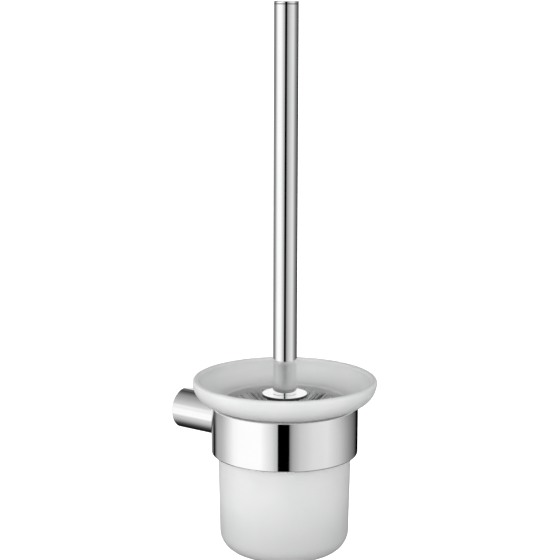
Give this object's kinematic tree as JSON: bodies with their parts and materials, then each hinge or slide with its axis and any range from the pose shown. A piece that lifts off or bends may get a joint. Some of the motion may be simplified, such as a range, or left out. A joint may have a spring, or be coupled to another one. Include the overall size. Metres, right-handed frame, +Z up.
{
  "type": "toilet brush holder",
  "caption": "Wall-hung toilet brush holder: polished arm and ring, frosted glass cup with a flared dish, and a lift-out brush with a long round handle.",
  "frame": {"origin": "centre of the arm's end face, on the wall", "axes": "+Z up along the cup and the brush, +Y into the wall, so the cup hangs towards -Y"},
  "size_m": [0.1232, 0.1491, 0.3657],
  "materials": {
    "chrome": "mirror-polished chrome plate on brass",
    "zinc": "turned zinc, dull",
    "steel": "plain stainless fastener",
    "brass": "machined brass",
    "frosted_glass": "pressed glass, satin frosted on both sides",
    "liner_plastic": "soft translucent moulded plastic",
    "core_plastic": "white moulded polypropylene",
    "bristle_fibre": "crimped nylon bristle in tufts",
    "rubber": "matt rubber"
  },
  "bodies": {
    "wall_holder": {"wall_bracket": "zinc", "set_screw": "steel", "support_arm": "chrome", "ring_screws": "steel", "holder_ring": "chrome", "ring_liner": "liner_plastic"},
    "cup": {"glass_cup": "frosted_glass"},
    "brush_head": {"brush_core": "core_plastic", "core_stud": "steel", "side_bristles": "bristle_fibre", "end_bristles": "bristle_fibre", "cover_disc": "chrome"},
    "seal": {"handle_seal": "rubber"},
    "handle": {"handle_tube": "chrome", "handle_insert": "brass", "handle_cap": "chrome"}
  },
  "joints": [
    {"name": "cup_lift", "type": "slide", "parent": "wall_holder", "child": "cup", "axis": [0, 0, 1], "range_m": [0, 0.11]},
    {"name": "brush_lift", "type": "slide", "parent": "cup", "child": "brush_head", "axis": [0, 0, 1], "range_m": [0, 0.125]},
    {"name": "handle_rise", "type": "slide", "parent": "brush_head", "child": "seal", "axis": [0, 0, 1], "range_m": [0, 0.0101]},
    {"name": "handle_unscrew", "type": "hinge", "parent": "seal", "child": "handle", "pos_m": [0, -0.0875, 0.03], "axis": [0, 0, 1], "range_deg": [0, 2880]}
  ],
  "couplings": [
    {"joint": "handle_rise", "follows": "handle_unscrew", "m_per_rad": 0.00019894}
  ]
}
